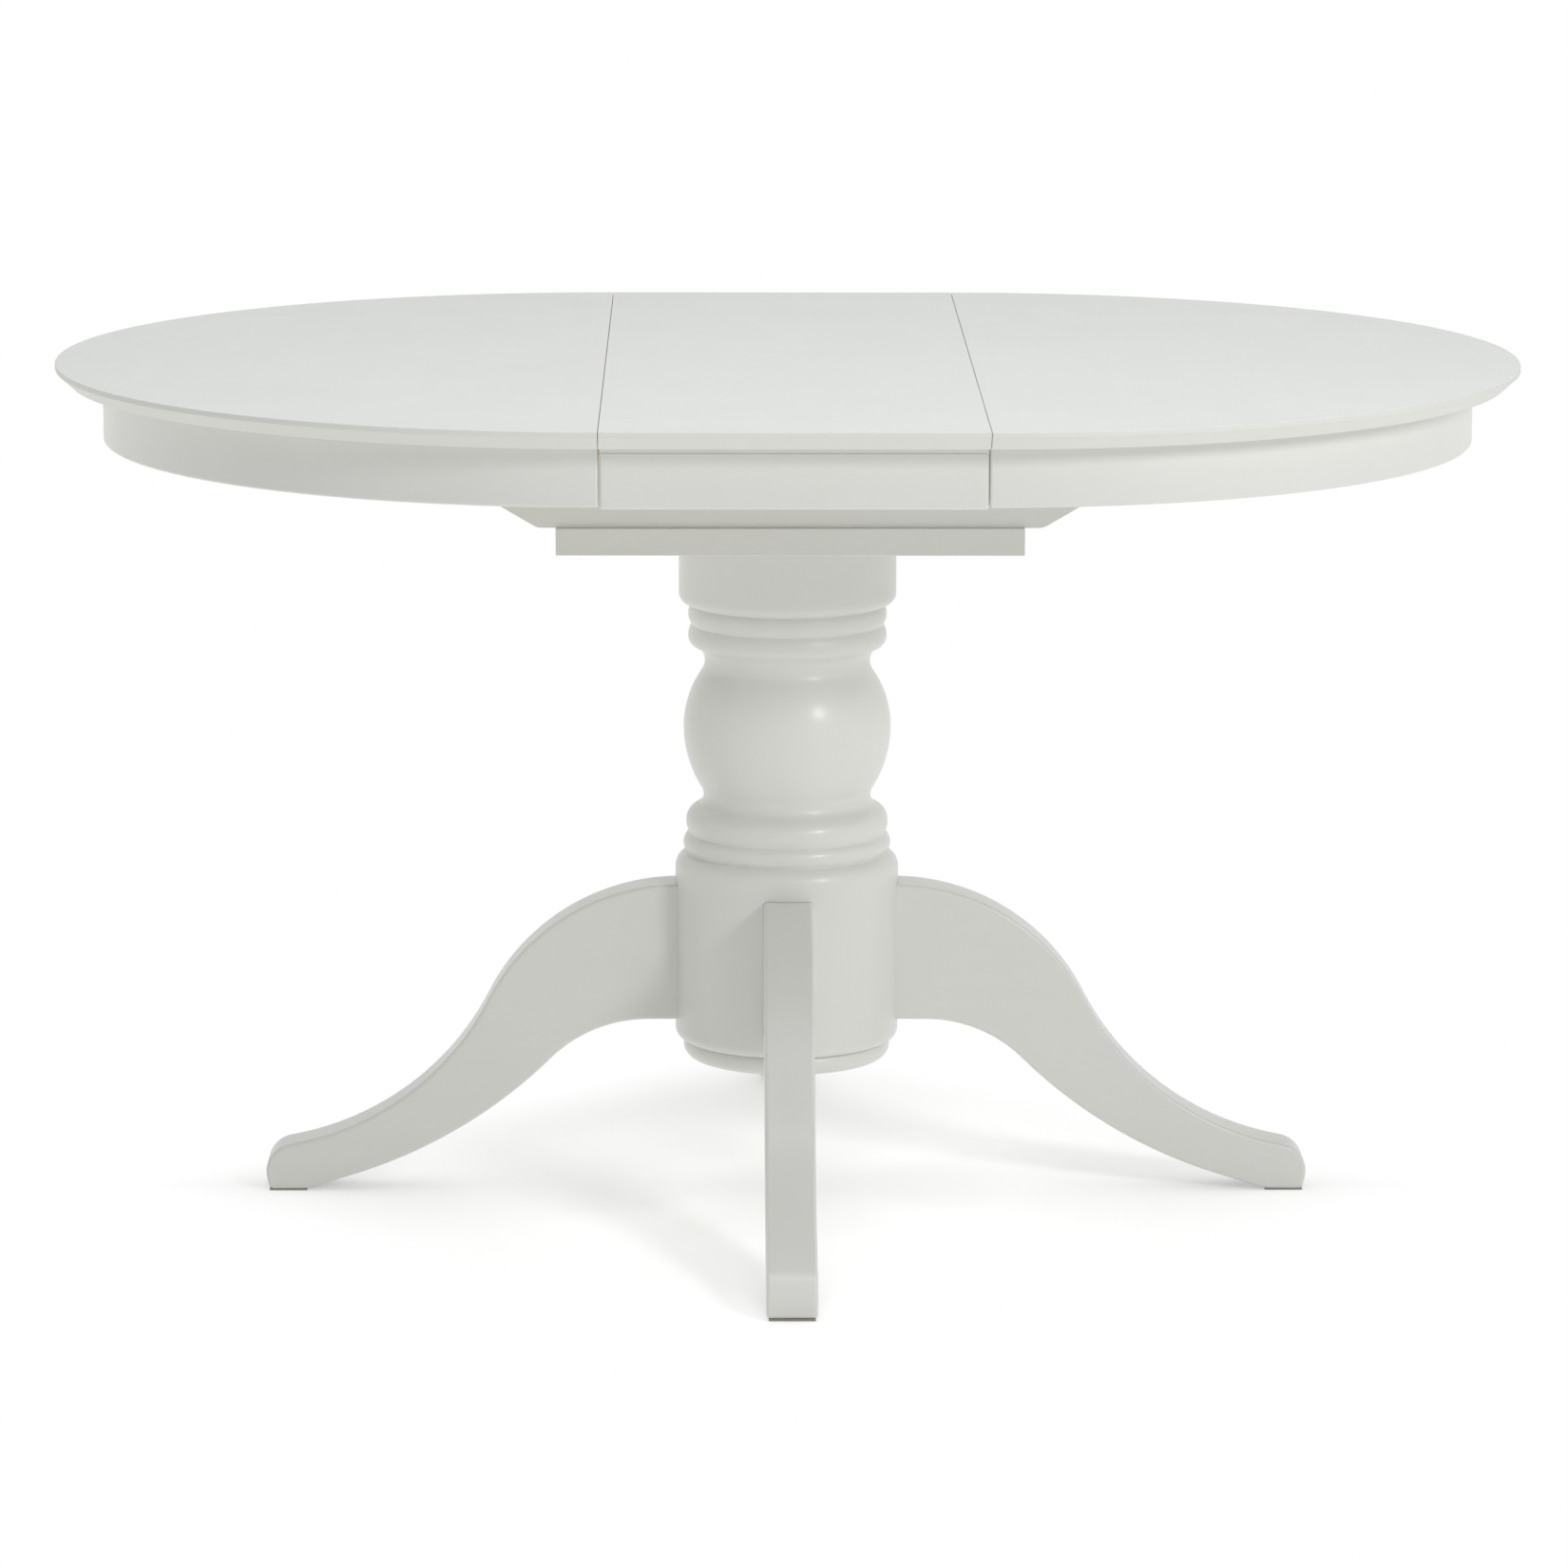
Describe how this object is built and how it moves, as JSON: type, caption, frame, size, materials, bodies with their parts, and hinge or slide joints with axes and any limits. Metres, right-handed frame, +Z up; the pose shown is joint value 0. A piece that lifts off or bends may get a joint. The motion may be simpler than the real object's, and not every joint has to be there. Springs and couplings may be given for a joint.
{
  "type": "extending pedestal dining table",
  "caption": "Oval pedestal dining table: half-round ends that draw apart on geared runners around a lift-out leaf, turned column, curved plank legs.",
  "frame": {"origin": "on the floor under the column axis", "axes": "+X along the way the halves draw apart, +Y to the back, +Z up"},
  "size_m": [1.3058, 0.98, 0.7625],
  "materials": {
    "white_lacquer": "satin off-white lacquer on hardwood",
    "bare_beech": "planed beech, waxed",
    "zinc_steel": "bright zinc plate",
    "nylon": "moulded nylon",
    "felt": "dense dark felt"
  },
  "bodies": {
    "pedestal": {"base_bead": "white_lacquer", "base_bead_screws": "zinc_steel", "bearer_back": "white_lacquer", "bearer_front": "white_lacquer", "column": "white_lacquer", "cross_rail_left": "bare_beech", "cross_rail_right": "bare_beech", "foot_pads": "felt", "frame_screws": "zinc_steel", "gear_board": "bare_beech", "gear_board_screws": "zinc_steel", "key_back_inner": "bare_beech", "key_back_outer": "bare_beech", "key_front_inner": "bare_beech", "key_front_outer": "bare_beech", "leg_back": "white_lacquer", "leg_bolts": "zinc_steel", "leg_dowels": "bare_beech", "leg_front": "white_lacquer", "leg_left": "white_lacquer", "leg_nuts": "zinc_steel", "leg_right": "white_lacquer", "leg_washers": "zinc_steel", "mounting_plate": "white_lacquer", "pinion_axle": "zinc_steel", "plate_bolts": "zinc_steel", "plate_sleeves": "zinc_steel", "rack_guides": "nylon"},
    "left_half": {"left_apron": "white_lacquer", "left_batten": "bare_beech", "left_blocks": "bare_beech", "left_pegs": "bare_beech", "left_rack": "nylon", "left_runner_back": "bare_beech", "left_runner_front": "bare_beech", "left_screws": "zinc_steel", "left_top": "white_lacquer"},
    "right_half": {"right_apron": "white_lacquer", "right_batten": "bare_beech", "right_blocks": "bare_beech", "right_pegs": "bare_beech", "right_rack": "nylon", "right_runner_back": "bare_beech", "right_runner_front": "bare_beech", "right_screws": "zinc_steel", "right_top": "white_lacquer"},
    "leaf": {"leaf_apron_back": "white_lacquer", "leaf_apron_front": "white_lacquer", "leaf_cleat_back": "white_lacquer", "leaf_cleat_front": "white_lacquer", "leaf_screws": "zinc_steel", "leaf_top": "white_lacquer"},
    "pinion_wheel": {"pinion": "nylon"}
  },
  "joints": [
    {"name": "left_draw", "type": "slide", "parent": "pedestal", "child": "left_half", "axis": [-1, 0, 0], "range_m": [0, 0.02]},
    {"name": "right_draw", "type": "slide", "parent": "pedestal", "child": "right_half", "axis": [1, 0, 0], "range_m": [0, 0.02]},
    {"name": "pinion_turn", "type": "hinge", "parent": "pedestal", "child": "pinion_wheel", "pos_m": [0, 0, 0.7185], "axis": [0, 0, -1], "range_deg": [0, 42.5]},
    {"name": "leaf_lift", "type": "slide", "parent": "pedestal", "child": "leaf", "axis": [0, 0, 1], "range_m": [0, 0.3]}
  ],
  "couplings": [
    {"joint": "right_draw", "follows": "left_draw", "ratio": 1},
    {"joint": "pinion_turn", "follows": "left_draw", "rad_per_m": 37.037}
  ]
}
